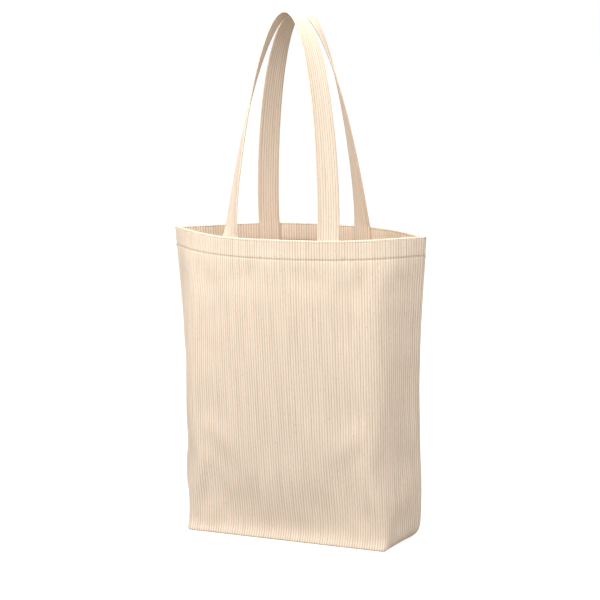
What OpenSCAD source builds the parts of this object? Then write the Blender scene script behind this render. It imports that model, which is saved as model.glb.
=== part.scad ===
// Tote bag of ribbed canvas, standing open, with a boxed base, a folded hem and two sewn-in handles.
// Millimetres. +Z is up, X runs along the mouth, the front panel is at -Y,
// and the origin is under the middle of the base.

/* [Body] */
// Width of the standing base, left to right
base_w = 260; // [200:1:340]
// Depth of the base and of each side, front to back
base_d = 115; // [90:1:150]
// Height of the body, from the table to the rim
bag_h = 370; // [250:1:450]
// Opening of the mouth at its middle, front to back
mouth_gap = 156; // [90:1:170]
// Radius of the soft fold up each corner
corner_r = 7; // [3:0.5:15]
// Thickness of one layer of the ribbed canvas
cloth_t = 1; // [0.6:0.1:1.6]

/* [Hem and seams] */
// Depth of the folded hem below the rim
hem_w = 25; // [15:1:40]
// Distance from the rim down to its line of top stitching
rim_stitch_drop = 2.5; // [1.5:0.5:5]
// Distance from the hem's lower edge up to its line of stitching
hem_stitch_rise = 2; // [1:0.5:5]
// Width of each seam allowance inside the bag
seam_w = 9; // [6:0.5:12]
// Width of the overlock thread along the edge of an allowance
overlock_w = 1.5; // [1:0.25:3]
// Thickness of the sewing thread
thread_t = 0.5; // [0.3:0.1:0.8]

/* [Handles] */
// Width of each strap
strap_w = 26; // [18:1:36]
// Thickness of each strap, which is cloth folded over and over
strap_t = 2; // [1.5:0.25:4]
// Distance between the middles of a handle's two legs
leg_gap = 122; // [90:1:160]
// Rise of a handle above the rim
handle_rise = 263; // [120:1:320]
// Distance between the tops of the two handles at rest
top_gap = 50; // [36:1:80]
// Distance from a strap's edge in to its edge stitching
edge_stitch_in = 2.5; // [1.5:0.5:5]
// Gap between a handle and the rim that it turns over
turn_gap = 2; // [1.5:0.5:4]

/* [Fineness] */
// Steps across each panel
panel_steps = 48; // [24:4:64]
// Steps up each panel
rise_steps = 12; // [6:1:20]
// Steps along each handle
handle_steps = 48; // [24:4:64]

/* [Hidden] */

// The cloth of each panel is as wide as the front of the base and two half sides.
flat_w = base_w + base_d;
// The mouth's rim bows out this far on each side of the line between its corners.
mouth_bow = mouth_gap / 2;
// Half the distance between the mouth's corners, from the length of a shallow parabola.
mouth_c = (flat_w / 2 + sqrt(flat_w * flat_w / 4 - 8 / 3 * mouth_bow * mouth_bow)) / 2;
// How much faster the cloth runs than the chord towards the mouth's corners.
bow_gain = 2 / 3 * pow(mouth_bow / mouth_c, 2);
// Straight part, rounded part and side part of half a panel's outline at the table.
front_run = base_w / 2 - corner_r;
corner_run = corner_r * PI / 2;
half_run = front_run + corner_run + base_d / 2 - corner_r;
// Two layers of cloth make a seam allowance.
seam_t = 2 * cloth_t;
// A piece laid on another's face stays this far off it.
lay_gap = 0.15;
// Depths of the hem's turned-in layer, inside the panel's outer face.
hem_depth = cloth_t + lay_gap;
hem_back = hem_depth + cloth_t;
// Place of a leg across the panel, as a share of the half mouth.
leg_q = leg_gap / 2 / mouth_c;
// Angle between the rim and X at a leg.
leg_yaw = atan(2 * mouth_bow * leg_q / mouth_c);
// Half a strap's width, as a share of the half mouth.
half_strap_q = strap_w / 2 * cos(leg_yaw) / mouth_c;
// Depth inside the panel's outer face where a strap's end begins, and that of its mid-plane.
end_depth = hem_back + lay_gap;
leg_depth = end_depth + strap_t / 2;
// Power that sets how pointed the handle's arch is.
arch_power = 4 / 3;

canvas = [0.93, 0.87, 0.78];
canvas_shade = [0.88, 0.80, 0.69];
thread = [0.97, 0.93, 0.86];

// A value for each step from 0 to 1.
function steps(n) = [for (i = [0:n]) i / n];

// Distance along half the outline at the table, for a place q from -1 to 1 across the panel.
function run_at(q) = half_run * q * (1 + bow_gain * q * q) / (1 + bow_gain);
function run_rate(q) = half_run * (1 + 3 * bow_gain * q * q) / (1 + bow_gain);

// Angle turned through by the outline at the table, 0 on the front and 90 on the side.
function turn_at(run) = min(90, max(0, (abs(run) - front_run) / corner_run * 90));

// Point of the front half of the outline at the table: front, rounded corner, side.
function table_point(q) =
  let (run = run_at(q), side = sign(run), a = turn_at(run))
  [
    side * (min(abs(run), front_run) + corner_r * sin(a)),
    -base_d / 2 + corner_r * (1 - cos(a)) + max(0, abs(run) - front_run - corner_run)
  ];

// Direction of that outline, as long as its rate against q.
function table_rate(q) =
  let (run = run_at(q), a = sign(run) * turn_at(run))
  run_rate(q) * [cos(a), sin(a)];

// Point and rate of the rim, a parabola from corner to corner.
function rim_point(q) = [mouth_c * q, -mouth_bow * (1 - q * q)];
function rim_rate(q) = [mouth_c, 2 * mouth_bow * q];

// Outward direction of the front panel's face at place q and height z.
function wall_out(q, z) =
  let (t = z / bag_h, r = (1 - t) * table_rate(q) + t * rim_rate(q))
  [r.y, -r.x] / norm(r);

// Point at a depth inside the front panel's outer face. Straight lines join table and rim,
// and the two ends are cut square at the side seams.
function wall_point(q, z, depth) =
  let (t = z / bag_h, p = (1 - t) * table_point(q) + t * rim_point(q), n = wall_out(q, z))
  abs(q) > 0.9999
    ? [p.x - depth / n.x, 0, z]
    : [p.x - n.x * depth, p.y - n.y * depth, z];

// Closed solid through a list of rings, each with the same number of points.
module skin(rings) {
  count = len(rings[0]);
  last = len(rings) - 1;
  points = [for (ring = rings) for (p = ring) p];
  sides = [
    for (i = [0:last - 1]) for (k = [0:count - 1])
      let (a = i * count + k, b = i * count + (k + 1) % count)
      each [[a, b, b + count], [a, b + count, a + count]]
  ];
  ends = [[for (k = [count - 1:-1:0]) k], [for (k = [0:count - 1]) last * count + k]];
  polyhedron(points, concat(sides, ends));
}

// Band on the front wall between two heights and two depths, from place q0 to place q1.
module wall_band(q0, q1, n, z0, z1, depth0, depth1) {
  skin([
    for (s = steps(n)) let (q = q0 + (q1 - q0) * s)
      [wall_point(q, z0, depth0), wall_point(q, z0, depth1),
       wall_point(q, z1, depth1), wall_point(q, z1, depth0)]
  ]);
}

// Half of the body: a front wall with its half sides, and the front half of the base.
module panel() {
  columns = panel_steps + 1;
  layer = columns * (rise_steps + 1);
  points = concat(
    [
      for (depth = [0, cloth_t]) for (t = steps(rise_steps)) for (s = steps(panel_steps))
        wall_point(2 * s - 1, t == 0 ? depth : t * bag_h, depth)
    ],
    [for (z = [0, cloth_t]) [0, -base_d / 4, z]]
  );
  walls = [
    for (j = [0:rise_steps - 1]) for (i = [0:panel_steps - 1])
      let (a = j * columns + i, b = a + 1, c = b + columns, d = a + columns)
      each [
        [c, b, a], [d, c, a],
        [a + layer, b + layer, c + layer], [a + layer, c + layer, d + layer]
      ]
  ];
  side_edges = [
    for (j = [0:rise_steps - 1])
      let (a = j * columns, d = a + columns, b = a + panel_steps, c = b + columns)
      each [
        [d, a, a + layer], [d, a + layer, d + layer],
        [b, c, c + layer], [b, c + layer, b + layer]
      ]
  ];
  top = rise_steps * columns;
  rim_edge = [
    for (i = [0:panel_steps - 1])
      let (a = top + i, b = a + 1)
      each [[b, a, a + layer], [b, a + layer, b + layer]]
  ];
  base_edge = [
    [0, panel_steps, panel_steps + layer], [0, panel_steps + layer, layer]
  ];
  under_hub = 2 * layer;
  floor_hub = under_hub + 1;
  base_faces = [
    for (i = [0:panel_steps])
      let (k = (i + 1) % columns)
      each [[under_hub, i, k], [floor_hub, layer + k, layer + i]]
  ];
  polyhedron(points, concat(walls, side_edges, rim_edge, base_edge, base_faces));
}

// Turned-in layer of the hem.
module hem() {
  wall_band(-1, 1, panel_steps, bag_h - hem_w, bag_h, hem_depth, hem_back);
}

// Line of thread on the outer face at height z.
module stitch_row(z) {
  wall_band(-1, 1, panel_steps, z - thread_t / 2, z + thread_t / 2, -thread_t - lay_gap, -lay_gap);
}

// Inner corner at a side seam at height z, back to where two layers of cloth fit between the panels.
function seam_start(z) =
  let (n = wall_out(1, z))
  wall_point(1, z, cloth_t).x - seam_t / 2 * abs(n.y) / n.x;

// Upright strip inside the right side seam, from one distance inward to another.
module side_strip(from, to) {
  z0 = cloth_t + seam_t + 2 * lay_gap;
  z1 = bag_h - hem_w - lay_gap;
  skin([
    for (s = steps(rise_steps))
      let (z = z0 + (z1 - z0) * s, x = seam_start(z) - lay_gap)
      [[x - to, -seam_t / 2, z], [x - from, -seam_t / 2, z],
       [x - from, seam_t / 2, z], [x - to, seam_t / 2, z]]
  ]);
}

// Flat strip along the lower end of the right side, where the pinched corner is sewn.
module gusset_strip(from, to) {
  length = base_d - 2 * corner_r;
  translate([base_w / 2 - cloth_t - lay_gap - to, -length / 2, cloth_t + lay_gap])
    cube([to - from, length, seam_t]);
}

// Flat strip along the middle of the base, folded to the back.
module bottom_strip(from, to) {
  length = base_w - 2 * (cloth_t + 2 * lay_gap + seam_w + overlock_w);
  translate([-length / 2, from, cloth_t + lay_gap])
    cube([length, to - from, seam_t]);
}

// The two sewn ends of the front handle, flat inside the hem.
module handle_ends() {
  for (side = [-1, 1])
    wall_band(side * leg_q - half_strap_q, side * leg_q + half_strap_q, 4,
      bag_h - hem_w, bag_h, end_depth, end_depth + strap_t);
}

// The lines of thread that cross each sewn end, near its top and its foot.
module end_rows() {
  row_q = half_strap_q * (1 - 2 * edge_stitch_in / strap_w);
  depth = end_depth + strap_t + lay_gap;
  for (side = [-1, 1])
    for (z = [bag_h - rim_stitch_drop, bag_h - hem_w + hem_stitch_rise])
      wall_band(side * leg_q - row_q, side * leg_q + row_q, 4,
        z - thread_t / 2, z + thread_t / 2, depth, depth + thread_t);
}

// Middle line of the front handle: an arch from the left leg (a = 0) to the right leg (a = 180)
// that leans in over the mouth as it rises.
leg_out = wall_out(leg_q, bag_h);
leg_middle = [leg_q * mouth_c - leg_out.x * leg_depth, rim_point(leg_q).y - leg_out.y * leg_depth];
arch_rise = handle_rise - turn_gap - strap_t / 2;
function arch_point(a) =
  let (h = pow(sin(a), arch_power))
  [
    -leg_middle.x * cos(a),
    leg_middle.y + (-top_gap / 2 - leg_middle.y) * h,
    bag_h + turn_gap + arch_rise * h
  ];

// Frame of the strap at a: its direction, and its width direction, which turns evenly
// from the rim's line at one leg, through front to back at the top, to the rim's line at the other.
function unit(v) = v / norm(v);
function arch_along(a) = unit(arch_point(min(180, a + 1)) - arch_point(max(0, a - 1)));
function arch_across(a) =
  let (yaw = -leg_yaw - (180 - 2 * leg_yaw) * a / 180, b = [cos(yaw), sin(yaw), 0], t = arch_along(a))
  unit(b - (b * t) * t);

// Ribbon along the front handle, between two places across the strap and two heights off its middle.
module strap_band(across0, across1, off0, off1) {
  skin([
    for (s = steps(handle_steps))
      let (a = 180 * s, p = arch_point(a), b = arch_across(a), n = cross(b, arch_along(a)))
      [p + b * across0 + n * off0, p + b * across1 + n * off0,
       p + b * across1 + n * off1, p + b * across0 + n * off1]
  ]);
}

// Edge stitching of the front handle: a line near each edge, on both faces.
module strap_rows() {
  row = strap_w / 2 - edge_stitch_in;
  near = strap_t / 2 + lay_gap;
  for (side = [-1, 1])
    for (off = [near, -near - thread_t])
      strap_band(side * row - thread_t / 2, side * row + thread_t / 2, off, off + thread_t);
}

module to_back() {
  mirror([0, 1, 0]) children();
}

module to_left() {
  mirror([1, 0, 0]) children();
}

module front_panel() { color(canvas) panel(); }
module back_panel() { color(canvas) to_back() panel(); }
module front_hem() { color(canvas_shade) hem(); }
module back_hem() { color(canvas_shade) to_back() hem(); }
module left_side_seam() { color(canvas_shade) to_left() side_strip(0, seam_w); }
module right_side_seam() { color(canvas_shade) side_strip(0, seam_w); }
module left_gusset_seam() { color(canvas_shade) to_left() gusset_strip(0, seam_w); }
module right_gusset_seam() { color(canvas_shade) gusset_strip(0, seam_w); }
module bottom_seam() { color(canvas_shade) bottom_strip(0, seam_w); }
module left_side_overlock() { color(thread) to_left() side_strip(seam_w, seam_w + overlock_w); }
module right_side_overlock() { color(thread) side_strip(seam_w, seam_w + overlock_w); }
module left_gusset_overlock() { color(thread) to_left() gusset_strip(seam_w, seam_w + overlock_w); }
module right_gusset_overlock() { color(thread) gusset_strip(seam_w, seam_w + overlock_w); }
module bottom_overlock() { color(thread) bottom_strip(seam_w, seam_w + overlock_w); }
module front_rim_stitching() { color(thread) stitch_row(bag_h - rim_stitch_drop); }
module back_rim_stitching() { color(thread) to_back() stitch_row(bag_h - rim_stitch_drop); }
module front_hem_stitching() { color(thread) stitch_row(bag_h - hem_w + hem_stitch_rise); }
module back_hem_stitching() { color(thread) to_back() stitch_row(bag_h - hem_w + hem_stitch_rise); }
module front_handle_ends() { color(canvas) handle_ends(); }
module back_handle_ends() { color(canvas) to_back() handle_ends(); }
module front_end_stitching() { color(thread) end_rows(); }
module back_end_stitching() { color(thread) to_back() end_rows(); }
module front_handle() { color(canvas) strap_band(-strap_w / 2, strap_w / 2, -strap_t / 2, strap_t / 2); }
module front_handle_stitching() { color(thread) strap_rows(); }
module back_handle() {
  color(canvas) to_back() strap_band(-strap_w / 2, strap_w / 2, -strap_t / 2, strap_t / 2);
}
module back_handle_stitching() { color(thread) to_back() strap_rows(); }

front_panel();
back_panel();
front_hem();
back_hem();
left_side_seam();
right_side_seam();
left_gusset_seam();
right_gusset_seam();
bottom_seam();
left_side_overlock();
right_side_overlock();
left_gusset_overlock();
right_gusset_overlock();
bottom_overlock();
front_rim_stitching();
back_rim_stitching();
front_hem_stitching();
back_hem_stitching();
front_handle_ends();
back_handle_ends();
front_end_stitching();
back_end_stitching();
front_handle();
front_handle_stitching();
back_handle();
back_handle_stitching();
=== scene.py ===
"""Looks of a ribbed canvas tote bag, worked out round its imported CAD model.

Each panel is one cloth that runs from the hem's inner edge over the rim, down the wall, round the
bottom edge and under the base. Everything else is laid on that cloth: stitches, seams, handles.
Lengths are metres, and X, Y, Z are those of the CAD model.
"""

import bpy
import numpy as np
from bpy.props import FloatProperty, FloatVectorProperty, PointerProperty
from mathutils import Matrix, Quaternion, Vector


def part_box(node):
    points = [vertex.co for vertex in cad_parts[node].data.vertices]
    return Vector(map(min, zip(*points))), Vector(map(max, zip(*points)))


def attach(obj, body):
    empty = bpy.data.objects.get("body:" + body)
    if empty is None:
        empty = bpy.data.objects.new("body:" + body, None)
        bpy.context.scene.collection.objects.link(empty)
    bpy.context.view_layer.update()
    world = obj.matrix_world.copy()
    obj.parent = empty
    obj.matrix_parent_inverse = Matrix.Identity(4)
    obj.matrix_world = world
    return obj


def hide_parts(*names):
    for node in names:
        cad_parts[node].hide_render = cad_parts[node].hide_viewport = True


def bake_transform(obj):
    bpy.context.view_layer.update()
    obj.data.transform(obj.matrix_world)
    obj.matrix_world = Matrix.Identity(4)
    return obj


bl_info = {
    "name": "Canvas tote bag",
    "version": (1, 0, 0),
    "blender": (4, 5, 0),
    "location": "3D View > Sidebar > Tote",
    "description": "Builds the cloth, seams, stitches and handles of a ribbed canvas tote bag",
    "category": "Add Mesh",
}

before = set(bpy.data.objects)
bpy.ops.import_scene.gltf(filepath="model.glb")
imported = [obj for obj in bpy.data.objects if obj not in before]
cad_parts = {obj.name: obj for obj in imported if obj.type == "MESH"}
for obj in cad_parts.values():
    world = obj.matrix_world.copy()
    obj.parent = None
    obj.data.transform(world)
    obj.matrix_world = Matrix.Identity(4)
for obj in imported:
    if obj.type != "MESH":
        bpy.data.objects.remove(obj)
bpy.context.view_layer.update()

MM = 0.001

# ---------------------------------------------------------------- sizes that the frame gives

PANEL_LOW, PANEL_HIGH = (np.array(corner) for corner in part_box("front_panel"))
BAG_H = float(PANEL_HIGH[2])
MOUTH_HALF = float(PANEL_HIGH[0])
MOUTH_BOW = float(-PANEL_LOW[1])
HEM_W = BAG_H - float(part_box("front_hem")[0][2])
RIM_ROW_Z = float(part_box("front_rim_stitching")[0][2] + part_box("front_rim_stitching")[1][2]) / 2
HEM_ROW_Z = float(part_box("front_hem_stitching")[0][2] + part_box("front_hem_stitching")[1][2]) / 2
HANDLE_TOP = float(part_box("front_handle")[1][2])
CLOTH_T = 1.0 * MM
LAY_GAP = 0.15 * MM
CORNER_R = 7.0 * MM
GUSSET_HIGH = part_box("right_gusset_seam")[1]
BASE_HALF_W = float(GUSSET_HIGH[0]) + CLOTH_T + LAY_GAP
BASE_HALF_D = float(GUSSET_HIGH[1]) + CORNER_R
# Half the width of a panel's flat cloth.
HALF_RUN = BASE_HALF_W + BASE_HALF_D

# ---------------------------------------------------------------- sizes of the sewing

# Width of a seam's allowance, with the part that lies under its overlock.
SEAM_W = 10.2 * MM
STITCH_PITCH = 3.2 * MM
STITCH_LENGTH = 2.7 * MM
OVERLOCK_PITCH = 2.4 * MM
OVERLOCK_LENGTH = 2.9 * MM
OVERLOCK_THREAD = 0.5 * MM
# How far in from the edge the overlock's slanted stitches are centred.
OVERLOCK_IN = 1.1 * MM
# Depth of the groove between two ribs of a panel, and of a strap.
PANEL_GROOVE = 0.26 * MM
STRAP_GROOVE = 0.24 * MM
# How far the hem stands out, and how deep its two rows of stitching pull it in.
HEM_SWELL = 0.42 * MM
RIM_ROW_PULL = 0.42 * MM
HEM_ROW_PULL = 0.75 * MM
# Radius of the roll over the rim, and of the fold from a wall into the base.
RIM_ROLL = 1.45 * MM
BASE_FOLD = 2.6 * MM
# How far the cloth dips into a seam, and over what width.
SEAM_DIP = 1.1 * MM
# Run along the front rim to the knot where the hem's stitching starts, and its depth.
KNOT_RUN = 88 * MM
KNOT_DEPTH = 0.9 * MM

# ---------------------------------------------------------------- fineness of the meshes

RIBS = 117
COLUMNS_PER_RIB = 3
COLUMNS = RIBS * COLUMNS_PER_RIB + 1
RIB_PITCH = 2 * HALF_RUN / RIBS
SECTION_STEPS = 750
FOLD_ROWS = 5
ROLL_ROWS = 8
STRAP_RINGS = 210
# Rows of a panel on the hem's inner face.
INNER_ROWS = 13
STRAP_RIBS = 8
SEAM_RIBS = 3
# The net that is let sag: its size, the frames it has, how much larger than its place it is
# cut, and the furthest that its cloth may move.
NET_COLUMNS = 76
NET_ROWS = 60
SAG_FRAMES = 24
SAG_SLACK = 0.006
SAG_MOST = 4 * MM
CANVAS_FEEL = {
    "quality": 8,
    "mass": 0.0002,
    "tension_stiffness": 60,
    "compression_stiffness": 60,
    "shear_stiffness": 25,
    "bending_stiffness": 4,
    "air_damping": 4,
}


# ---------------------------------------------------------------- the bag's wall as a formula


# How far the corner's quarter turn widens, and the share of the height by which it has.
SOFT_RAMP = 50 * MM
SOFT_BY = 0.25
# How far a side opens towards its seam, and the height over which it starts to.
SIDE_OPEN = 0.28
SIDE_FOOT = 7 * MM
# How late the wall takes the mouth's outline on its way up.
MOUTH_POWER = 1.5
# How far the mouth leans to the front.
LEAN = 3 * MM
# Outward movement of the cloth that the simulation found, on an even grid of run and height.
SAG = {"front": np.zeros((2, 2)), "back": np.zeros((2, 2))}


def smooth(x):
    """0 below 0, 1 above 1, and an even S between."""
    x = np.clip(x, 0, 1)
    return x * x * (3 - 2 * x)


def mouth_angle(run):
    """Angle of the rim against X at a distance along it: the slope of a parabola through the
    mouth's corners, whose chord is found from the distance by a short inverse table."""
    chord = np.linspace(0, MOUTH_HALF, 400)
    slope = 2 * MOUTH_BOW * chord / MOUTH_HALF**2
    length = np.concatenate([[0], np.cumsum(np.hypot(np.diff(chord), np.diff(chord) * slope[1:]))])
    at = np.interp(np.abs(run) * length[-1] / HALF_RUN, length, chord)
    return np.sign(run) * np.arctan(2 * MOUTH_BOW * at / MOUTH_HALF**2)


def section_tables(z):
    """X, Y and angle along the front wall's outline at each height in z, on an even grid of run.
    The outline is found from its angle, so its length never changes: at the table the angle turns
    a quarter at each corner of the base, at the rim it is the mouth's, and between them the two
    are mixed while the corner softens and the side stands out along its seam."""
    run = np.linspace(-HALF_RUN, HALF_RUN, SECTION_STEPS + 1)
    t = np.clip(z[:, None] / BAG_H, 0, 1)
    ramp = CORNER_R * np.pi / 2 + smooth(t / SOFT_BY) * SOFT_RAMP
    turn = (np.abs(run) - BASE_HALF_W) / ramp + 0.5
    turn = np.where(t > 0, smooth(turn), np.clip(turn, 0, 1))
    side_open = SIDE_OPEN * (1 - np.exp(-z[:, None] / SIDE_FOOT)) * (1 - t) ** 1.5
    mouth = t**MOUTH_POWER
    angle = np.sign(run) * turn * np.pi / 2 * (1 - side_open) * (1 - mouth)
    angle = angle + mouth * mouth_angle(run)
    middle = (angle[:, 1:] + angle[:, :-1]) / 2
    step = run[1] - run[0]
    zero = np.zeros((len(z), 1))
    x = np.concatenate([zero, np.cumsum(np.cos(middle) * step, axis=1)], axis=1)
    y = np.concatenate([zero, np.cumsum(np.sin(middle) * step, axis=1)], axis=1)
    return x - x[:, -1:] / 2, y, angle


def cubic_weights(f):
    """Shares of the four grid values round a place, for a curve that passes through them evenly."""
    return np.stack([
        f * (-0.5 + f * (1 - 0.5 * f)),
        1 + f * f * (1.5 * f - 2.5),
        f * (0.5 + f * (2 - 1.5 * f)),
        f * f * (0.5 * f - 0.5),
    ])


def even_grid_value(grid, run, z):
    """Value between the points of a grid that is even in run and height, by cubic curves."""
    rows, columns = grid.shape
    v = np.clip(z / BAG_H, 0, 1) * (rows - 1)
    u = np.clip((run + HALF_RUN) / (2 * HALF_RUN), 0, 1) * (columns - 1)
    i = np.minimum(v.astype(int), rows - 2)
    j = np.minimum(u.astype(int), columns - 2)
    near = np.arange(-1, 3)[:, None]
    rows_near = np.clip(i + near, 0, rows - 1)
    columns_near = np.clip(j + near, 0, columns - 1)
    values = grid[rows_near[:, None, :], columns_near[None, :, :]]
    return np.einsum("an,bn,abn->n", cubic_weights(v - i), cubic_weights(u - j), values)


def on_wall(side, run, z, depth):
    """Points at a run along a panel, a height and a depth inside its outer face, with the outward
    direction there: the outline's table is read at the run, then moved along its normal."""
    run, z, depth = np.broadcast_arrays(run, z, depth)
    heights, row = np.unique(np.round(z.ravel(), 7), return_inverse=True)
    tx, ty, ta = section_tables(heights)
    u = np.clip((run.ravel() + HALF_RUN) / (2 * HALF_RUN), 0, 1) * SECTION_STEPS
    j = np.minimum(u.astype(int), SECTION_STEPS - 1)
    f = u - j
    x, y, a = (table[row, j] * (1 - f) + table[row, j + 1] * f for table in (tx, ty, ta))
    push = even_grid_value(SAG[side], run.ravel(), z.ravel()) - depth.ravel()
    out = np.stack([np.sin(a), -np.cos(a), 0 * a], axis=1)
    points = np.stack([x, y, z.ravel()], axis=1) + out * push[:, None]
    if side == "back":
        points[:, 1] *= -1
        out[:, 1] *= -1
    points[:, 1] -= LEAN * np.clip(z.ravel() / BAG_H, 0, 1)
    return points.reshape(run.shape + (3,)), out.reshape(run.shape + (3,))


# ---------------------------------------------------------------- mesh helpers


def make_piece(name, points, quads, uv=None, tris=None, material=None):
    """Object with a mesh of those faces, smooth, with a corner map named cloth."""
    faces = quads.tolist() + (tris.tolist() if tris is not None else [])
    mesh = bpy.data.meshes.new(name)
    mesh.from_pydata(points.tolist(), [], faces)
    if uv is not None:
        layer = mesh.uv_layers.new(name="cloth")
        layer.data.foreach_set("uv", np.ascontiguousarray(uv, dtype=np.float32).ravel())
    mesh.shade_smooth()
    mesh.update()
    piece = bpy.data.objects.new(name, mesh)
    bpy.context.scene.collection.objects.link(piece)
    if material:
        mesh.materials.append(bpy.data.materials[material])
    return piece


def grid_quads(index, flip=False):
    """Quads between neighbouring rows and columns of an array of vertex numbers."""
    quads = np.stack([index[:-1, :-1], index[1:, :-1], index[1:, 1:], index[:-1, 1:]], axis=-1)
    quads = quads.reshape(-1, 4)
    return quads[:, ::-1] if flip else quads


def sweep(name, rings, u, v, material, flip=False):
    """Closed bar through rings of points, each closed by a fan. u has one value more than a ring
    has points, for the seam of the map, and v has one value for each ring."""
    count, around = rings.shape[:2]
    index = np.arange(count * around).reshape(count, around)
    index = np.concatenate([index, index[:, :1]], axis=1)
    map_u, map_v = np.broadcast_arrays(u[None, :], v[:, None])
    cells = np.arange(count * (around + 1)).reshape(count, around + 1)
    corners = grid_quads(cells, flip).ravel()
    uv = np.stack([map_u.ravel()[corners], map_v.ravel()[corners]], axis=1)
    hubs = np.array([count * around, count * around + 1])
    points = np.concatenate([rings.reshape(-1, 3), rings[[0, -1]].mean(axis=1)])
    first, last = index[0], index[-1]
    start = np.stack([np.full(around, hubs[0]), first[:-1], first[1:]], axis=1)
    end = np.stack([np.full(around, hubs[1]), last[1:], last[:-1]], axis=1)
    if flip:
        start, end = start[:, ::-1], end[:, ::-1]
    tris = np.concatenate([start, end])
    cap_u = np.concatenate([
        np.stack([u[:-1] * 0 + u.mean(), u[:-1], u[1:]], axis=1),
        np.stack([u[:-1] * 0 + u.mean(), u[1:], u[:-1]], axis=1),
    ])
    if flip:
        cap_u = cap_u[:, ::-1]
    cap_v = np.repeat([v[0], v[-1]], around * 3)
    uv = np.concatenate([uv, np.stack([cap_u.ravel(), cap_v], axis=1)])
    return make_piece(name, points, grid_quads(index, flip), uv, tris, material)


def stitch_shape(around=6):
    """One stitch along X: a round-ended bar that bows up, with its length, width and height 1."""
    along = np.array([0.1, 0.34, 0.66, 0.9])
    girth = np.sin(np.pi * along) ** 0.5
    turn = np.arange(around) * 2 * np.pi / around
    bow = np.sin(np.pi * along) * 0.6
    x = np.repeat(along - 0.5, around)
    y = (girth[:, None] * np.cos(turn) / 2).ravel()
    z = (girth[:, None] * np.sin(turn) / 2 + bow[:, None]).ravel()
    points = np.stack([x, y, z], axis=1)
    points = np.concatenate([points, [[-0.5, 0, -0.2], [0.5, 0, -0.2]]])
    rings = len(along)
    index = np.arange(rings * around).reshape(rings, around)
    index = np.concatenate([index, index[:, :1]], axis=1)
    quads = grid_quads(index)
    poles = rings * around
    start = np.stack([np.full(around, poles), index[0, :-1], index[0, 1:]], axis=1)
    end = np.stack([np.full(around, poles + 1), index[-1, 1:], index[-1, :-1]], axis=1)
    return points, quads[:, ::-1], np.concatenate([start, end])[:, ::-1]


def stitches(name, centres, along, out, length, width, material="sewing thread"):
    """A bar of thread at each centre, laid along one direction and raised along another."""
    points, quads, tris = stitch_shape()
    along = along / np.linalg.norm(along, axis=1, keepdims=True)
    across = np.cross(out, along)
    across /= np.linalg.norm(across, axis=1, keepdims=True)
    up = np.cross(along, across)
    size = np.array([1, width, width])
    local = points * size
    local[:, 0] *= length
    placed = (
        centres[:, None, :]
        + along[:, None, :] * local[None, :, :1]
        + across[:, None, :] * local[None, :, 1:2]
        + up[:, None, :] * local[None, :, 2:3]
    )
    start = (np.arange(len(centres)) * len(points))[:, None, None]
    all_quads = (quads[None] + start).reshape(-1, 4)
    all_tris = (tris[None] + start).reshape(-1, 3)
    return make_piece(name, placed.reshape(-1, 3), all_quads, None, all_tris, material)


def even_steps(length, pitch):
    """Middles of as many whole stitches as fit a length."""
    count = max(1, int(length / pitch))
    return (np.arange(count) + 0.5) * length / count


# ---------------------------------------------------------------- materials


def socket(node, name, value):
    """Sets a socket's own value."""
    node.inputs[name].default_value = value


class Nodes:
    """Short calls that add a node and join it up."""

    def __init__(self, material):
        material.use_nodes = True
        self.tree = material.node_tree
        self.tree.nodes.clear()

    def add(self, kind, **settings):
        node = self.tree.nodes.new(kind)
        for key, value in settings.items():
            setattr(node, key, value)
        return node

    def join(self, source, target):
        self.tree.links.new(source, target)

    def math(self, operation, a, b=None, clamp=False):
        node = self.add("ShaderNodeMath", operation=operation, use_clamp=clamp)
        for slot, value in zip(node.inputs, (a, b)):
            if value is None:
                continue
            if isinstance(value, (int, float)):
                slot.default_value = value
            else:
                self.join(value, slot)
        return node.outputs[0]

    def mix(self, factor, a, b, blend="MIX"):
        node = self.add("ShaderNodeMix", data_type="RGBA", blend_type=blend)
        for slot, value in zip((node.inputs[0], node.inputs[6], node.inputs[7]), (factor, a, b)):
            if isinstance(value, (int, float, tuple, list)):
                slot.default_value = value
            else:
                self.join(value, slot)
        return node.outputs[2]

    def noise(self, vector, scale, detail=3.0, rough=0.55):
        node = self.add("ShaderNodeTexNoise")
        socket(node, "Scale", scale)
        socket(node, "Detail", detail)
        socket(node, "Roughness", rough)
        self.join(vector, node.inputs["Vector"])
        return node.outputs["Fac"]

    def stretch(self, vector, scale):
        node = self.add("ShaderNodeMapping")
        socket(node, "Scale", scale)
        self.join(vector, node.inputs["Vector"])
        return node.outputs[0]


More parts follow.
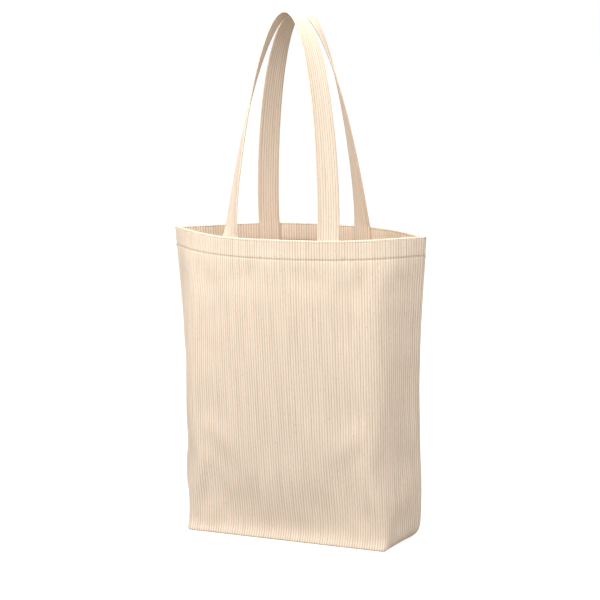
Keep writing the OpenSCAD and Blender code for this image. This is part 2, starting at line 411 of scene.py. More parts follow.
def cloth_material(name, crest, valley, contrast=1.0, sheen=0.12):
    """Ribbed canvas. The map's U counts ribs and V runs along them in rib widths: a sine of U
    makes the rib, faster sines of V the weft that binds it, and noise the uneven yarn."""
    material = bpy.data.materials.new(name)
    n = Nodes(material)
    uv = n.add("ShaderNodeUVMap", uv_map="cloth").outputs[0]
    spot = n.add("ShaderNodeTexCoord").outputs["Object"]
    split = n.add("ShaderNodeSeparateXYZ")
    n.join(uv, split.inputs[0])
    u, v = split.outputs[0], split.outputs[1]
    rib = n.math("POWER", n.math("ABSOLUTE", n.math("SINE", n.math("MULTIPLY", u, np.pi))), 0.6)
    # Each rib's yarns are a little lighter or darker, and change slowly along it.
    streak = n.noise(n.stretch(uv, (1.3, 0.035, 1)), 1.0, 2.0)
    slub = n.noise(n.stretch(uv, (3.0, 0.6, 1)), 1.0, 3.0)
    # The weft crosses each rib about five times in a rib's width, half a step later on the next.
    shift = n.math("MULTIPLY", n.math("FLOOR", u), 1.7)
    weft = n.math("SINE", n.math("ADD", n.math("MULTIPLY", v, 2 * np.pi * 5), shift))
    fuzz = n.noise(spot, 1800.0, 2.0)
    cloud = n.noise(spot, 7.0, 2.0)
    tone = n.math("MULTIPLY_ADD", n.math("SUBTRACT", streak, 0.5), 0.9 * contrast)
    n.tree.nodes[-1].inputs[2].default_value = 0.0
    tone = n.math("ADD", tone, n.math("MULTIPLY", n.math("SUBTRACT", slub, 0.5), 0.5 * contrast))
    factor = n.math("ADD", n.math("MULTIPLY", rib, contrast), tone)
    factor = n.math("ADD", factor, n.math("MULTIPLY", weft, 0.06))
    factor = n.math("ADD", factor, 0.5 * (1 - contrast), clamp=True)
    colour = n.mix(factor, (*valley, 1), (*crest, 1))
    shade = n.mix(n.math("MULTIPLY", cloud, 0.5), (1, 1, 1, 1), (0.965, 0.95, 0.925, 1))
    colour = n.mix(1.0, colour, shade, "MULTIPLY")
    # Here and there a darker fleck of seed coat is left in the cotton.
    fleck = n.math("GREATER_THAN", n.noise(spot, 420.0, 0.0), 0.8)
    colour = n.mix(n.math("MULTIPLY", fleck, 0.35), colour, (0.48, 0.36, 0.22, 1))
    height = n.math("ADD", n.math("MULTIPLY", rib, 0.55), n.math("MULTIPLY", weft, 0.12))
    height = n.math("ADD", height, n.math("MULTIPLY", fuzz, 0.35))
    bump = n.add("ShaderNodeBump")
    socket(bump, "Strength", 0.5)
    socket(bump, "Distance", 0.35 * MM)
    n.join(height, bump.inputs["Height"])
    rough = n.math("MULTIPLY_ADD", fuzz, 0.16)
    n.tree.nodes[-1].inputs[2].default_value = 0.78
    shader = n.add("ShaderNodeBsdfPrincipled")
    socket(shader, "Sheen Weight", sheen)
    socket(shader, "Sheen Roughness", 0.5)
    socket(shader, "Sheen Tint", (*crest, 1))
    socket(shader, "Specular IOR Level", 0.12)
    n.join(colour, shader.inputs["Base Color"])
    n.join(rough, shader.inputs["Roughness"])
    n.join(bump.outputs[0], shader.inputs["Normal"])
    out = n.add("ShaderNodeOutputMaterial")
    n.join(shader.outputs[0], out.inputs[0])
    return material


def thread_material(name, colour):
    """Spun sewing thread: noise drawn out into fine twisted strands, with a slight shine."""
    material = bpy.data.materials.new(name)
    n = Nodes(material)
    spot = n.add("ShaderNodeTexCoord").outputs["Object"]
    strand = n.noise(n.stretch(spot, (2600, 2600, 900)), 1.0, 2.0)
    cloud = n.noise(spot, 60.0, 2.0)
    dark = tuple(c * 0.72 for c in colour)
    tone = n.math("ADD", n.math("MULTIPLY", strand, 0.8), n.math("MULTIPLY", cloud, 0.3), clamp=True)
    mixed = n.mix(tone, (*dark, 1), (*colour, 1))
    bump = n.add("ShaderNodeBump")
    socket(bump, "Strength", 0.4)
    socket(bump, "Distance", 0.1 * MM)
    n.join(strand, bump.inputs["Height"])
    rough = n.math("MULTIPLY_ADD", strand, 0.2)
    n.tree.nodes[-1].inputs[2].default_value = 0.5
    shader = n.add("ShaderNodeBsdfPrincipled")
    socket(shader, "Sheen Weight", 0.2)
    n.join(mixed, shader.inputs["Base Color"])
    n.join(rough, shader.inputs["Roughness"])
    n.join(bump.outputs[0], shader.inputs["Normal"])
    out = n.add("ShaderNodeOutputMaterial")
    n.join(shader.outputs[0], out.inputs[0])
    return material


# ---------------------------------------------------------------- the panels


def hem_depth(drop):
    """Depth of the panel's outer face below the rim: swollen between the two lines of stitching
    that pinch it, and level with the wall under the hem."""
    rim_row, hem_row = BAG_H - RIM_ROW_Z, BAG_H - HEM_ROW_Z
    swell = -HEM_SWELL * (1 - smooth((drop - hem_row + 1.5 * MM) / (2 * MM)))
    pinch = RIM_ROW_PULL * np.exp(-(((drop - rim_row) / (0.6 * MM)) ** 2))
    pinch = pinch + HEM_ROW_PULL * np.exp(-(((drop - hem_row) / (0.8 * MM)) ** 2))
    return swell + pinch


def pucker(run, drop):
    """Small outward waves that the hem's stitching leaves, fading away from the line."""
    hem_row = BAG_H - HEM_ROW_Z
    fade = np.exp(-np.abs(drop - hem_row) / (7 * MM))
    wave = np.sin(run / (2.1 * MM) + 2.2 * np.sin(run / (17 * MM)))
    wave = wave * (0.55 + 0.45 * np.sin(run / (31 * MM) + 1.0))
    knot = np.exp(-(((run - KNOT_RUN) / (2.2 * MM)) ** 2) - ((drop - hem_row) / (3 * MM)) ** 2)
    return 0.2 * MM * fade * wave - KNOT_DEPTH * knot


def panel_rows():
    """Height and depth of each row of a panel, from the hem's inner edge over the rim and down
    to the table: the inner face, half a circle, the outer face, and a quarter circle."""
    inner = 2 * CLOTH_T + LAY_GAP
    middle = inner / 2
    drop_in = np.concatenate([
        np.array([HEM_W, HEM_W - 0.8 * MM]),
        BAG_H - HEM_ROW_Z + np.array([0.7, 0, -0.7]) * MM,
        np.linspace(HEM_W - 5 * MM, 5 * MM, 6),
        BAG_H - RIM_ROW_Z + np.array([0.7, 0]) * MM,
    ])
    turn = np.radians(np.linspace(-20, 200, ROLL_ROWS))
    drop_out = np.concatenate([
        BAG_H - RIM_ROW_Z + np.array([0, 0.6, 1.4]) * MM,
        np.linspace(5.5 * MM, HEM_W - 4.5 * MM, 7),
        BAG_H - HEM_ROW_Z + np.array([-1.2, -0.6, 0, 0.6, 1.2, 2.2, 4, 7]) * MM,
    ])
    wall = np.linspace(BAG_H - drop_out[-1] - 7 * MM, 26 * MM, 38)
    foot = np.array([20, 15, 11, 8, 5.5]) * MM
    fold = np.radians(np.linspace(0, 90, FOLD_ROWS))
    z = np.concatenate([
        BAG_H - drop_in, BAG_H - RIM_ROLL * (1 - np.sin(turn)),
        BAG_H - drop_out, wall, foot, BASE_FOLD * (1 - np.sin(fold)),
    ])
    depth = np.concatenate([
        inner - hem_depth(drop_in), middle + RIM_ROLL * np.cos(turn),
        hem_depth(drop_out), 0 * wall, 0 * foot, BASE_FOLD * (1 - np.cos(fold)),
    ])
    return z, depth


def make_panel(side, material):
    """One panel's cloth. The wall is the formula's surface over rows and columns; the base is a
    patch whose front row and two sides are the wall's last row, filled by straight lines."""
    z, depth = panel_rows()
    run = np.linspace(-HALF_RUN, HALF_RUN, COLUMNS)
    rows = len(z)
    drop = BAG_H - z[:, None]
    groove = np.where(np.arange(COLUMNS) % COLUMNS_PER_RIB == 0, PANEL_GROOVE, 0.0)
    to_seam = HALF_RUN - np.abs(run)
    tuck = SEAM_DIP * np.exp(-to_seam / SEAM_DIP)
    fold_from = rows - FOLD_ROWS
    on_side = smooth((np.abs(run) - BASE_HALF_W) / (6 * MM))
    pinch = np.zeros((rows, 1))
    pinch[fold_from + FOLD_ROWS // 2] = 0.9 * MM
    wave = pucker(run, drop) * (z[:, None] > BAG_H - 0.07)
    full = depth[:, None] + groove + tuck + pinch * on_side - wave
    inner_face = np.arange(rows)[:, None] < INNER_ROWS
    full = np.where(inner_face, depth[:, None] - groove - tuck - wave, full)
    full[-1] = depth[-1] + tuck
    height = z[:, None] + 0 * run
    near_rim = smooth(1 - drop / (0.06))
    height = height + 0.45 * MM * near_rim * np.sin(run / (26 * MM) + (1.3 if side == "front" else 4))
    wall, _ = on_wall(side, run[None, :] + 0 * height, np.minimum(height, BAG_H + MM), full)
    wall[-1, :, 2] = 0
    wall[:-1, :, 2] = np.maximum(wall[:-1, :, 2], 0)
    index = np.arange(rows * COLUMNS).reshape(rows, COLUMNS)
    first = int(np.searchsorted(run, -(BASE_HALF_W - 4 * MM)))
    last = COLUMNS - 1 - first
    ring = wall[-1]
    left = ring[first::-1]
    right = ring[last:]
    share = np.linspace(0, 1, last - first + 1)
    patch = left[:, None, :] * (1 - share[None, :, None]) + right[:, None, :] * share[None, :, None]
    from_ring = np.abs(left[:, 1] - left[0, 1])[:, None]
    patch[..., 2] = groove[first:last + 1] * 0.6 * smooth(from_ring / (4 * MM))
    to_middle = np.abs(patch[:, :1, 1])
    patch[..., 2] += 1 * MM * np.exp(-to_middle / SEAM_DIP)
    inner = patch[1:, 1:-1]
    map_patch = np.empty((first + 1, last - first + 1), dtype=int)
    map_patch[0] = index[-1, first:last + 1]
    map_patch[:, 0] = index[-1, first::-1]
    map_patch[:, -1] = index[-1, last:]
    map_patch[1:, 1:-1] = rows * COLUMNS + np.arange(inner[..., 0].size).reshape(inner.shape[:2])
    points = np.concatenate([wall.reshape(-1, 3), inner.reshape(-1, 3)])
    flip = side == "back"
    along = np.concatenate([[0], np.cumsum(np.hypot(np.diff(z), np.diff(depth)))]) / RIB_PITCH
    wall_u, wall_v = np.broadcast_arrays(np.arange(COLUMNS) / COLUMNS_PER_RIB, along[:, None])
    patch_u = np.arange(first, last + 1) / COLUMNS_PER_RIB
    patch_v = along[-1] + np.abs(left[:, 1] - left[0, 1]) / RIB_PITCH
    patch_u, patch_v = np.broadcast_arrays(patch_u, patch_v[:, None])
    u = np.concatenate([wall_u.ravel(), patch_u.ravel()])
    v = np.concatenate([wall_v.ravel(), patch_v.ravel()])
    cells = rows * COLUMNS + np.arange(patch_u.size).reshape(patch_u.shape)
    corners = np.concatenate([grid_quads(index, flip), grid_quads(cells, flip)]).ravel()
    quads = np.concatenate([grid_quads(index, flip), grid_quads(map_patch, flip)])
    piece = make_piece(side + "_panel_cloth", points, quads,
                       np.stack([u[corners], v[corners]], axis=1), None, material)
    solid = piece.modifiers.new("cloth thickness", "SOLIDIFY")
    solid.thickness = 0.95 * CLOTH_T
    solid.offset = -1
    return piece


# ---------------------------------------------------------------- the handles


def leg_runs(side):
    """Runs along the rim to the middles of a handle's left and right legs."""
    s = settings()
    x, _, _ = section_tables(np.array([BAG_H]))
    runs = np.linspace(-HALF_RUN, HALF_RUN, SECTION_STEPS + 1)
    off = s.front_off if side == "front" else s.back_off
    return np.interp([off - s.leg_gap / 2, off + s.leg_gap / 2], x[0], runs)


# How much further than evenly each handle is turned.
FRONT_TWIST = np.radians(18)
BACK_TWIST = np.radians(7)


def extra_twist(side, share):
    """How much further than evenly a handle is turned at a share of its arch: at once above the
    first leg and less and less towards the other, or alike along its whole length."""
    if side == "front":
        return FRONT_TWIST * (1 - np.exp(-share / 0.03)) * (1 - share) ** 1.3
    return BACK_TWIST * (1 - np.exp(-share / 0.04)) * (1 - np.exp(-(1 - share) / 0.04))


def handle_path(side):
    """Middle line of a handle with its width direction and outward face. It runs up inside the
    hem, over an arch whose height is a power of a sine and whose top leans in over the mouth,
    and down to the other leg. The width turns evenly from the rim's line to front-to-back."""
    s = settings()
    left, right = leg_runs(side)
    depth = 2 * CLOTH_T + 2 * LAY_GAP + s.strap_t / 2 + 0.3 * MM
    foot_z = BAG_H - HEM_W
    feet, out = on_wall(side, np.array([left, right]), BAG_H, depth)
    sign = -1 if side == "front" else 1
    yaw = np.arctan2((out[1, 0] - out[0, 0]) / 2, abs(out[1, 1]))
    a = np.radians(np.linspace(0, 180, 1441))
    lift = np.sin(a) ** s.arch_power
    start_z = BAG_H + 1.0 * MM
    top = np.array([0, sign * s.top_gap / 2, HANDLE_TOP - s.strap_t / 2])
    middle, half = (feet[0, 0] + feet[1, 0]) / 2, (feet[1, 0] - feet[0, 0]) / 2
    foot_y = feet[0, 1] + (feet[1, 1] - feet[0, 1]) * (1 - np.cos(a)) / 2
    arch = np.stack([
        middle - half * np.cos(a),
        foot_y + (top[1] - foot_y) * lift,
        start_z + (top[2] - start_z) * lift,
    ], axis=1)
    up = np.linspace(foot_z, start_z, 24, endpoint=False)
    wall_left, _ = on_wall(side, left, np.minimum(up, BAG_H), depth)
    wall_left[:, 2] = up
    wall_right, _ = on_wall(side, right, np.minimum(up, BAG_H)[::-1], depth)
    wall_right[:, 2] = up[::-1]
    path = np.concatenate([wall_left, arch, wall_right])
    turn = np.concatenate([np.zeros(len(up)), a, np.full(len(up), np.pi)])
    azimuth = sign * (yaw + (np.pi - 2 * yaw) * turn / np.pi) - extra_twist(side, turn / np.pi)
    length = np.concatenate([[0], np.cumsum(np.linalg.norm(np.diff(path, axis=0), axis=1))])
    even = np.linspace(0, length[-1], STRAP_RINGS)
    path = np.stack([np.interp(even, length, path[:, k]) for k in range(3)], axis=1)
    azimuth = np.interp(even, length, azimuth)
    along = np.gradient(path, even, axis=0)
    along /= np.linalg.norm(along, axis=1, keepdims=True)
    across = np.stack([np.cos(azimuth), np.sin(azimuth), 0 * azimuth], axis=1)
    across -= along * (across * along).sum(axis=1, keepdims=True)
    across /= np.linalg.norm(across, axis=1, keepdims=True)
    face = np.cross(across, along)
    return path, along, across, face, even


def bar_profile(width, thick, ribs, row_in=None):
    """Outline across a flat bar of cloth: two ribbed faces, pinched along a line near each edge
    where it is stitched, and two round edges. Gives places across, heights off the middle, and
    the map's U."""
    half_w, half_t = width / 2, thick / 2
    flat = half_w - half_t
    n = ribs * COLUMNS_PER_RIB + 1
    x = np.linspace(-flat, flat, n)
    groove = np.where(np.arange(n) % COLUMNS_PER_RIB == 0, STRAP_GROOVE, 0.0)
    groove[[0, -1]] = 0
    height = half_t + 0.12 * MM * np.cos(x / half_w * np.pi / 2) - groove
    if row_in is not None:
        height = height - 0.3 * MM * np.exp(-(((np.abs(x) - half_w + row_in) / (0.9 * MM)) ** 2))
    turn = np.radians([60, 20, -20, -60])
    edge_x, edge_z = flat + half_t * np.cos(turn), half_t * np.sin(turn)
    px = np.concatenate([x, edge_x, x[::-1], -edge_x])
    pz = np.concatenate([height, edge_z, -height[::-1], -edge_z])
    step = np.hypot(np.diff(np.append(px, px[0])), np.diff(np.append(pz, pz[0])))
    u = np.concatenate([[0], np.cumsum(step)]) * ribs / (2 * flat)
    return px, pz, u


def bar(name, path, across, face, profile, material, flip=False):
    """Bar of cloth: the profile carried along a path that has a width direction and a face."""
    px, pz, u = profile
    rings = (
        path[:, None, :]
        + across[:, None, :] * px[None, :, None]
        + face[:, None, :] * pz[None, :, None]
    )
    length = np.concatenate([[0], np.cumsum(np.linalg.norm(np.diff(path, axis=0), axis=1))])
    return sweep(name, rings, u, length / RIB_PITCH, material, flip)


def turns_in(path, across, face):
    """True where a bar swept along the path would show its inside, by the handedness of its
    three directions."""
    return float(np.dot(np.cross(across[0], face[0]), path[1] - path[0])) < 0


def make_strap(side, material):
    """A handle's strap, from one sewn end to the other."""
    s = settings()
    path, _, across, face, _ = handle_path(side)
    profile = bar_profile(s.strap_w, s.strap_t, STRAP_RIBS, s.edge_stitch_in)
    flip = turns_in(path, across, face)
    return bar(side + "_strap", path, across, face, profile, material, flip)


def strap_stitches(side):
    """Edge stitching along both faces of a handle, from rim to rim."""
    s = settings()
    path, along, across, face, even = handle_path(side)
    from_foot = HEM_W + 3 * MM
    at = from_foot + even_steps(even[-1] - 2 * from_foot, STITCH_PITCH)
    p, t, b, n = (
        np.stack([np.interp(at, even, field[:, k]) for k in range(3)], axis=1)
        for field in (path, along, across, face)
    )
    centres, tangents, outs = [], [], []
    for edge in (-1, 1):
        for turn in (-1, 1):
            lift = s.strap_t / 2 - 0.2 * MM
            centres.append(p + b * edge * (s.strap_w / 2 - s.edge_stitch_in) + n * turn * lift)
            tangents.append(t)
            outs.append(n * turn)
    return stitches(side + "_strap_stitches", np.concatenate(centres), np.concatenate(tangents),
                    np.concatenate(outs), STITCH_LENGTH, s.thread_w)


def end_stitches(side):
    """Rows of thread across each sewn end of a handle, on the face towards the bag's inside."""
    s = settings()
    path, _, across, face, even = handle_path(side)
    rows = np.array([HEM_ROW_Z, RIM_ROW_Z]) - (BAG_H - HEM_W)
    at = np.concatenate([rows, even[-1] - rows])
    p, b, n = (
        np.stack([np.interp(at, even, field[:, k]) for k in range(3)], axis=1)
        for field in (path, across, face)
    )
    reach = s.strap_w - 2 * s.edge_stitch_in
    steps = even_steps(reach, STITCH_PITCH) - reach / 2
    centres = p[:, None] + b[:, None] * steps[None, :, None] - n[:, None] * (s.strap_t / 2 - 0.1 * MM)
    tangents = np.broadcast_to(b[:, None], centres.shape)
    outs = np.broadcast_to(-n[:, None], centres.shape)
    return stitches(side + "_end_stitches", centres.reshape(-1, 3), tangents.reshape(-1, 3),
                    outs.reshape(-1, 3), STITCH_LENGTH, s.thread_w)


# ---------------------------------------------------------------- stitching and seams


def hem_stitches(side, row_z, name):
    """A row of stitches round a panel at one height, on the outer face, and on the inner face
    between the handles' ends."""
    s = settings()
    run = even_steps(2 * HALF_RUN - 4 * MM, STITCH_PITCH) - (HALF_RUN - 2 * MM)
    skew = 0.12 * MM * np.sin(run / (13 * MM))
    drop = np.full_like(run, BAG_H - row_z)
    lift = 0.10 * MM
    wave = pucker(run, drop)
    centres, out = on_wall(side, run, row_z + skew, hem_depth(drop) - lift - wave)
    ahead, _ = on_wall(side, run + 0.5 * MM, row_z + skew, hem_depth(drop) - lift - wave)
    clear = np.abs(run[:, None] - leg_runs(side)).min(axis=1) > s.strap_w / 2 + 1 * MM
    inside = 2 * CLOTH_T + LAY_GAP - hem_depth(drop) + lift - wave
    inner, _ = on_wall(side, run[clear], row_z + skew[clear], inside[clear])
    along = ahead - centres
    return stitches(
        name, np.concatenate([centres, inner]), np.concatenate([along, along[clear]]),
        np.concatenate([out, -out[clear]]), STITCH_LENGTH, s.thread_w,
    )


def side_seam_path(sign):
    """Middle of the allowance up a side seam, with its directions: it stands inwards from the
    seam and sways a little from side to side."""
    z = np.linspace(4 * MM, BAG_H - HEM_W - LAY_GAP, 120)
    side_run = np.full_like(z, sign * HALF_RUN)
    seam, _ = on_wall("front", side_run, z, 1.2 * MM)
    sway = np.radians(9) * np.sin(z / (41 * MM)) + np.radians(4) * np.sin(z / (17 * MM) + 1)
    across = np.stack([-sign * np.cos(sway), np.sin(sway), 0 * z], axis=1)
    face = np.stack([-np.sin(sway), -sign * np.cos(sway), 0 * z], axis=1)
    return seam + across * SEAM_W / 2, across, face


def gusset_seam_path(sign):
    """Middle of the allowance along the lower end of a side, lying on the base."""
    y = np.linspace(-1, 1, 50) * (BASE_HALF_D - CORNER_R)
    x = sign * (BASE_HALF_W - CLOTH_T - LAY_GAP - SEAM_W / 2)
    wave = 0.35 * MM * np.sin(y / (9 * MM))
    path = np.stack([x + 0 * y, y, 2.2 * CLOTH_T + 0.3 * MM + wave], axis=1)
    across = np.tile([-sign, 0.0, 0.0], (len(y), 1))
    return path, across, np.tile([0.0, 0.0, 1.0], (len(y), 1))


def bottom_seam_path():
    """Middle of the allowance along the base's middle, folded to the back."""
    x = np.linspace(-1, 1, 110) * (BASE_HALF_W - 2 * SEAM_W + 4 * MM)
    wave = 0.35 * MM * np.sin(x / (14 * MM))
    path = np.stack([x, SEAM_W / 2 + 0 * x, 2.2 * CLOTH_T + 0.3 * MM + wave], axis=1)
    across = np.tile([0.0, 1.0, 0.0], (len(x), 1))
    return path, across, np.tile([0.0, 0.0, 1.0], (len(x), 1))


def overlock(name, path, across, face):
    """Thread over an allowance's free edge: a slanted stitch on each face and one round the edge
    for every step along it."""
    length = np.concatenate([[0], np.cumsum(np.linalg.norm(np.diff(path, axis=0), axis=1))])
    at = even_steps(length[-1], OVERLOCK_PITCH)
    tangent = np.gradient(path, length, axis=0)
    p, t, b, n = (
        np.stack([np.interp(at, length, field[:, k]) for k in range(3)], axis=1)
        for field in (path, tangent, across, face)
    )
    lift = CLOTH_T - 0.05 * MM
    edge = SEAM_W / 2
    back = edge - OVERLOCK_IN
    centres = [p + b * back + n * lift, p + b * back - n * lift, p + b * (edge + 0.05 * MM)]
    slant = [0.8 * t + 0.6 * b, 0.8 * t - 0.6 * b, n + 0.1 * t]
    return stitches(name, np.concatenate(centres), np.concatenate(slant),
                    np.concatenate([n, -n, b]), OVERLOCK_LENGTH, OVERLOCK_THREAD)


# ---------------------------------------------------------------- sag of the walls


def wall_net():
    """Coarse closed net of both walls: front columns left to right, back columns on round."""
    run = np.linspace(-HALF_RUN, HALF_RUN, NET_COLUMNS)
    z = np.linspace(0, BAG_H, NET_ROWS)
    front, front_out = on_wall("front", run[None, :], z[:, None], 0.0)
    back, back_out = on_wall("back", run[None, ::-1], z[:, None], 0.0)
    points = np.concatenate([front, back[:, 1:-1]], axis=1)
    outs = np.concatenate([front_out, back_out[:, 1:-1]], axis=1)
    return points, outs


def find_sag():
    """Lets the cloth settle: the net is held at the base and by the stiff hem, is cut a touch
    larger than its place, and hangs under its own weight. What is kept is how far each point
    moved outwards, smoothed, and held under SAG_MOST by a tanh."""
    points, outs = wall_net()
    rows, around = points.shape[:2]
    index = np.arange(rows * around).reshape(rows, around)
    index = np.concatenate([index, index[:, :1]], axis=1)
    mesh = bpy.data.meshes.new("net")
    mesh.from_pydata(points.reshape(-1, 3).tolist(), [], grid_quads(index).tolist())
    net = bpy.data.objects.new("net", mesh)
    scene = bpy.context.scene
    scene.collection.objects.link(net)
    pins = net.vertex_groups.new(name="held")
    z = np.linspace(0, BAG_H, rows)
    held = np.nonzero((z < 1 * MM) | (z > BAG_H - HEM_W))[0]
    pins.add(index[held, :-1].ravel().tolist(), 1.0, "REPLACE")
    cloth = net.modifiers.new("cloth", "CLOTH")
    for key, value in CANVAS_FEEL.items():
        setattr(cloth.settings, key, value)
    cloth.settings.shrink_min = -SAG_SLACK
    cloth.settings.vertex_group_mass = "held"
    for frame_number in range(1, SAG_FRAMES + 1):
        scene.frame_set(frame_number)
    settled = net.evaluated_get(bpy.context.evaluated_depsgraph_get()).data
    places = np.empty(rows * around * 3, dtype=np.float32)
    settled.vertices.foreach_get("co", places)
    moved = ((places.reshape(points.shape) - points) * outs).sum(axis=2)
    scene.frame_set(1)
    bpy.data.objects.remove(net)
    bpy.data.meshes.remove(mesh)
    for _ in range(2):
        moved = (np.roll(moved, 1, axis=1) + 2 * moved + np.roll(moved, -1, axis=1)) / 4
        inner = (moved[:-2] + 2 * moved[1:-1] + moved[2:]) / 4
        moved = np.concatenate([moved[:1], inner, moved[-1:]])
    moved = SAG_MOST * np.tanh(moved / SAG_MOST)
    SAG["front"] = moved[:, :NET_COLUMNS]
    rest = np.concatenate([moved[:, NET_COLUMNS - 1:], moved[:, :1]], axis=1)
    SAG["back"] = rest[:, ::-1]


# ---------------------------------------------------------------- properties and operators


class ToteSettings(bpy.types.PropertyGroup):
    """Sizes and colours of the bag that a user would change."""

    strap_w: FloatProperty(name="Strap width", description="Width of a handle's strap",
                           default=0.026, unit="LENGTH")
    strap_t: FloatProperty(name="Strap thickness", description="Thickness of a handle's strap",
                           default=0.002, unit="LENGTH")
    leg_gap: FloatProperty(name="Leg gap", description="Distance between a handle's two legs",
                           default=0.126, unit="LENGTH")
    front_off: FloatProperty(name="Front handle off middle", default=0.0045, unit="LENGTH",
                             description="How far the front handle is sewn off the middle")
    back_off: FloatProperty(name="Back handle off middle", default=-0.0035, unit="LENGTH",
                            description="How far the back handle is sewn off the middle")
    top_gap: FloatProperty(name="Top gap", description="Distance between the handles' tops",
                           default=0.050, unit="LENGTH")
    arch_power: FloatProperty(name="Arch power", description="How pointed a handle's arch is",
                              default=4 / 3)
    edge_stitch_in: FloatProperty(name="Edge stitching", unit="LENGTH", default=0.0025,
                                  description="Distance from a strap's edge to its stitching")
    thread_w: FloatProperty(name="Thread width", description="Width of a stitch's thread",
                            default=0.0006, unit="LENGTH")
    crest: FloatVectorProperty(name="Rib colour", description="Colour on top of a rib",
                               subtype="COLOR", size=3, default=(0.93, 0.775, 0.635))
    valley: FloatVectorProperty(name="Valley colour", description="Colour between two ribs",
                                subtype="COLOR", size=3, default=(0.56, 0.43, 0.30))
    thread: FloatVectorProperty(name="Thread colour", description="Colour of the sewing thread",
                                subtype="COLOR", size=3, default=(0.84, 0.73, 0.58))


def settings():
    return bpy.context.scene.tote


class TOTE_OT_materials(bpy.types.Operator):
    """Makes the cloth and thread materials"""

    bl_idname = "tote.materials"
    bl_label = "Materials"

    def execute(self, context):
        s = settings()
        crest, valley = tuple(s.crest), tuple(s.valley)
        cloth_material("ribbed canvas", crest, valley)
        cloth_material("ribbed canvas inside", tuple(c * 0.97 for c in crest), valley, 0.9)
        cloth_material("ribbed strap canvas", tuple(c * 0.94 for c in crest), valley, 1.1)
        thread_material("sewing thread", tuple(s.thread))
        return {"FINISHED"}


class TOTE_OT_panels(bpy.types.Operator):
    """Makes the front and back panels with their hems"""

    bl_idname = "tote.panels"
    bl_label = "Panels"

    def execute(self, context):
        for side in ("front", "back"):
            piece = make_panel(side, "ribbed canvas")
            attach(piece, "bag")
            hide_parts(side + "_panel", side + "_hem")
        return {"FINISHED"}


class TOTE_OT_sag(bpy.types.Operator):
    """Lets the walls' cloth settle"""

    bl_idname = "tote.sag"
    bl_label = "Sag"

    def execute(self, context):
        find_sag()
        return {"FINISHED"}


class TOTE_OT_hem_stitches(bpy.types.Operator):
    """Makes the two rows of stitching round the mouth"""

    bl_idname = "tote.hem_stitches"
    bl_label = "Hem stitching"

    def execute(self, context):
        for side in ("front", "back"):
            for row, z in (("rim", RIM_ROW_Z), ("hem", HEM_ROW_Z)):
                piece = hem_stitches(side, z, f"{side}_{row}_stitches")
                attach(piece, "bag")
                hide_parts(f"{side}_{row}_stitching")
        return {"FINISHED"}


class TOTE_OT_seams(bpy.types.Operator):
    """Makes the seam allowances inside the bag with the thread over their edges"""

    bl_idname = "tote.seams"
    bl_label = "Seams"

    def execute(self, context):
        paths = {
            "left_side": side_seam_path(-1),
            "right_side": side_seam_path(1),
            "left_gusset": gusset_seam_path(-1),
            "right_gusset": gusset_seam_path(1),
            "bottom": bottom_seam_path(),
        }
        profile = bar_profile(SEAM_W, 2 * CLOTH_T, SEAM_RIBS)
        for name, (path, across, face) in paths.items():
            allowance = bar(name + "_allowance", path, across, face, profile,
                            "ribbed canvas inside", flip=turns_in(path, across, face))
            thread = overlock(name + "_overlock_thread", path, across, face)
            for piece, node, slot in ((allowance, name + "_seam", "canvas_inside"),
                                      (thread, name + "_overlock", "thread")):
                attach(piece, "bag")
                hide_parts(node)
        return {"FINISHED"}


class TOTE_OT_handles(bpy.types.Operator):
    """Makes the two handles and their edge stitching"""

    bl_idname = "tote.handles"
    bl_label = "Handles"

    def execute(self, context):
        for side in ("front", "back"):
            strap = make_strap(side, "ribbed strap canvas")
            length = handle_path(side)[4][-1]
            thread = strap_stitches(side)
            ends = end_stitches(side)
            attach(ends, "bag")
            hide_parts(side + "_end_stitching")
            handle = side + "_handle"
            for piece in (strap, thread):
                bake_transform(piece)
            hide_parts(handle, handle + "_ends")
            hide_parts(handle + "_stitching")
        return {"FINISHED"}


class TOTE_OT_stage(bpy.types.Operator):
    """Makes the floor, the lights and the camera"""

    bl_idname = "tote.stage"
    bl_label = "Stage"

    def execute(self, context):
        make_stage()
        make_camera()
        return {"FINISHED"}


class TOTE_PT_panel(bpy.types.Panel):
    """Lists the bag's steps"""

    bl_idname = "TOTE_PT_panel"
    bl_label = "Tote bag"
    bl_space_type = "VIEW_3D"
    bl_region_type = "UI"
    bl_category = "Tote"

    def draw(self, context):
        for step in STEPS:
            self.layout.operator(step.bl_idname)


# ---------------------------------------------------------------- the stage


# Strength of the light from all round, and of the floor's own glow as it is seen.
ROOM_LIGHT = 0.58
FLOOR_GLOW = 0.88
FLOOR_HALF = 12.0
# Place, size and power of each light.
LIGHTS = {
    "key": ((-0.5, -0.9, 0.95), 0.7, 8.7),
    "back": ((-0.7, 1.3, 0.8), 1.0, 5),
    "top": ((0.05, -0.06, 1.15), 0.7, 8),
    "fill": ((1.0, -1.0, 0.6), 1.0, 5.0),
}


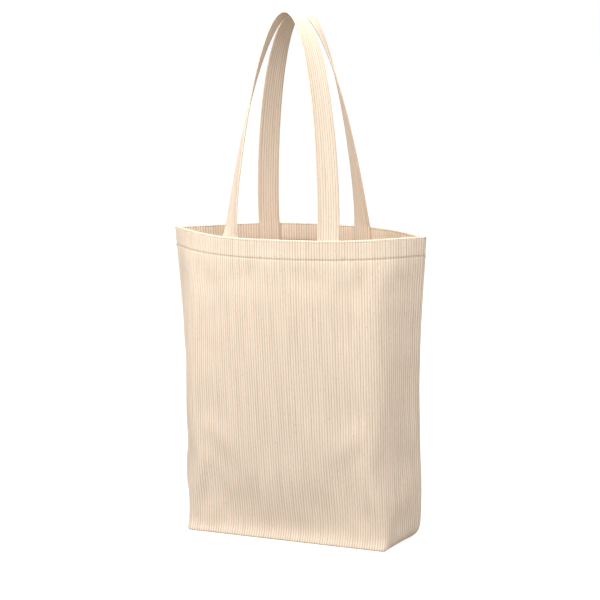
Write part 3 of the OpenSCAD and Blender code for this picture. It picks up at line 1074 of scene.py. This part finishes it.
def make_stage():
    """Pale floor that stays even as it is seen, pale surroundings, and four soft lights."""
    corners = np.array([[-1, -1, 0], [1, -1, 0], [1, 1, 0], [-1, 1, 0]])
    points = FLOOR_HALF * corners
    material = bpy.data.materials.new("floor")
    n = Nodes(material)
    spot = n.add("ShaderNodeTexCoord").outputs["Object"]
    tone = n.mix(n.noise(spot, 3.0, 2.0), (0.30, 0.30, 0.30, 1), (0.32, 0.32, 0.32, 1))
    shader = n.add("ShaderNodeBsdfPrincipled")
    socket(shader, "Roughness", 0.9)
    socket(shader, "Specular IOR Level", 0.1)
    socket(shader, "Emission Color", (1, 1, 1, 1))
    seen = n.math("MULTIPLY", n.add("ShaderNodeLightPath").outputs["Is Camera Ray"], FLOOR_GLOW)
    n.join(seen, shader.inputs["Emission Strength"])
    n.join(tone, shader.inputs["Base Color"])
    out = n.add("ShaderNodeOutputMaterial")
    n.join(shader.outputs[0], out.inputs[0])
    floor = make_piece("floor", points, np.array([[0, 1, 2, 3]]), material="floor")
    world = bpy.data.worlds.new("studio")
    bpy.context.scene.world = world
    world.use_nodes = True
    tree = world.node_tree
    tree.nodes.clear()
    path = tree.nodes.new("ShaderNodeLightPath")
    strength = tree.nodes.new("ShaderNodeMath")
    strength.operation = "MULTIPLY_ADD"
    strength.inputs[1].default_value = 1.0 - ROOM_LIGHT
    strength.inputs[2].default_value = ROOM_LIGHT
    tree.links.new(path.outputs["Is Camera Ray"], strength.inputs[0])
    back = tree.nodes.new("ShaderNodeBackground")
    back.inputs[0].default_value = (1, 1, 1, 1)
    tree.links.new(strength.outputs[0], back.inputs[1])
    out = tree.nodes.new("ShaderNodeOutputWorld")
    tree.links.new(back.outputs[0], out.inputs[0])
    for name, light in LIGHTS.items():
        add_light(name, *light)
    bpy.context.scene.view_settings.view_transform = "Standard"


def add_light(name, place, size, power):
    """Square soft light that faces the upper part of the bag."""
    data = bpy.data.lights.new(name, "AREA")
    data.size = size
    data.energy = power
    light = bpy.data.objects.new(name, data)
    light.location = place
    aim = Vector((0, 0, BAG_H * 0.8)) - Vector(place)
    light.rotation_mode = "QUATERNION"
    light.rotation_quaternion = aim.to_track_quat("-Z", "Y")
    bpy.context.scene.collection.objects.link(light)


CAMERA_AZIMUTH = 23.53
CAMERA_ELEVATION = 8.76
CAMERA_DISTANCE = 2.204
CAMERA_TARGET_Z = 0.3266
CAMERA_LENS = 109.43
CAMERA_SHIFT = (0.0021, -0.0560)
CAMERA_ROLL = -0.877


def make_camera():
    """Camera that looks at the bag's axis from the front, a little to the right and above."""
    data = bpy.data.cameras.new("camera")
    data.sensor_width = 36
    data.lens = CAMERA_LENS
    data.shift_x, data.shift_y = CAMERA_SHIFT
    camera = bpy.data.objects.new("camera", data)
    a, e = np.radians([CAMERA_AZIMUTH, CAMERA_ELEVATION])
    back = Vector((np.sin(a) * np.cos(e), -np.cos(a) * np.cos(e), np.sin(e)))
    camera.location = Vector((0, 0, CAMERA_TARGET_Z)) + back * CAMERA_DISTANCE
    camera.rotation_mode = "QUATERNION"
    level = (-back).to_track_quat("-Z", "Y")
    camera.rotation_quaternion = level @ Quaternion((0, 0, 1), np.radians(CAMERA_ROLL))
    data.clip_start, data.clip_end = 0.01, 100
    bpy.context.scene.collection.objects.link(camera)
    bpy.context.scene.camera = camera


STEPS = (TOTE_OT_materials, TOTE_OT_stage, TOTE_OT_sag, TOTE_OT_panels, TOTE_OT_hem_stitches,
         TOTE_OT_seams, TOTE_OT_handles)
CLASSES = (ToteSettings, *STEPS, TOTE_PT_panel)


def register():
    for cls in CLASSES:
        bpy.utils.register_class(cls)
    bpy.types.Scene.tote = PointerProperty(type=ToteSettings)


def unregister():
    del bpy.types.Scene.tote
    for cls in reversed(CLASSES):
        bpy.utils.unregister_class(cls)


def main():
    register()
    bpy.ops.tote.materials()
    bpy.ops.tote.stage()
    bpy.ops.tote.sag()
    bpy.ops.tote.panels()
    bpy.ops.tote.hem_stitches()
    bpy.ops.tote.seams()
    bpy.ops.tote.handles()


if __name__ == "__main__":
    main()
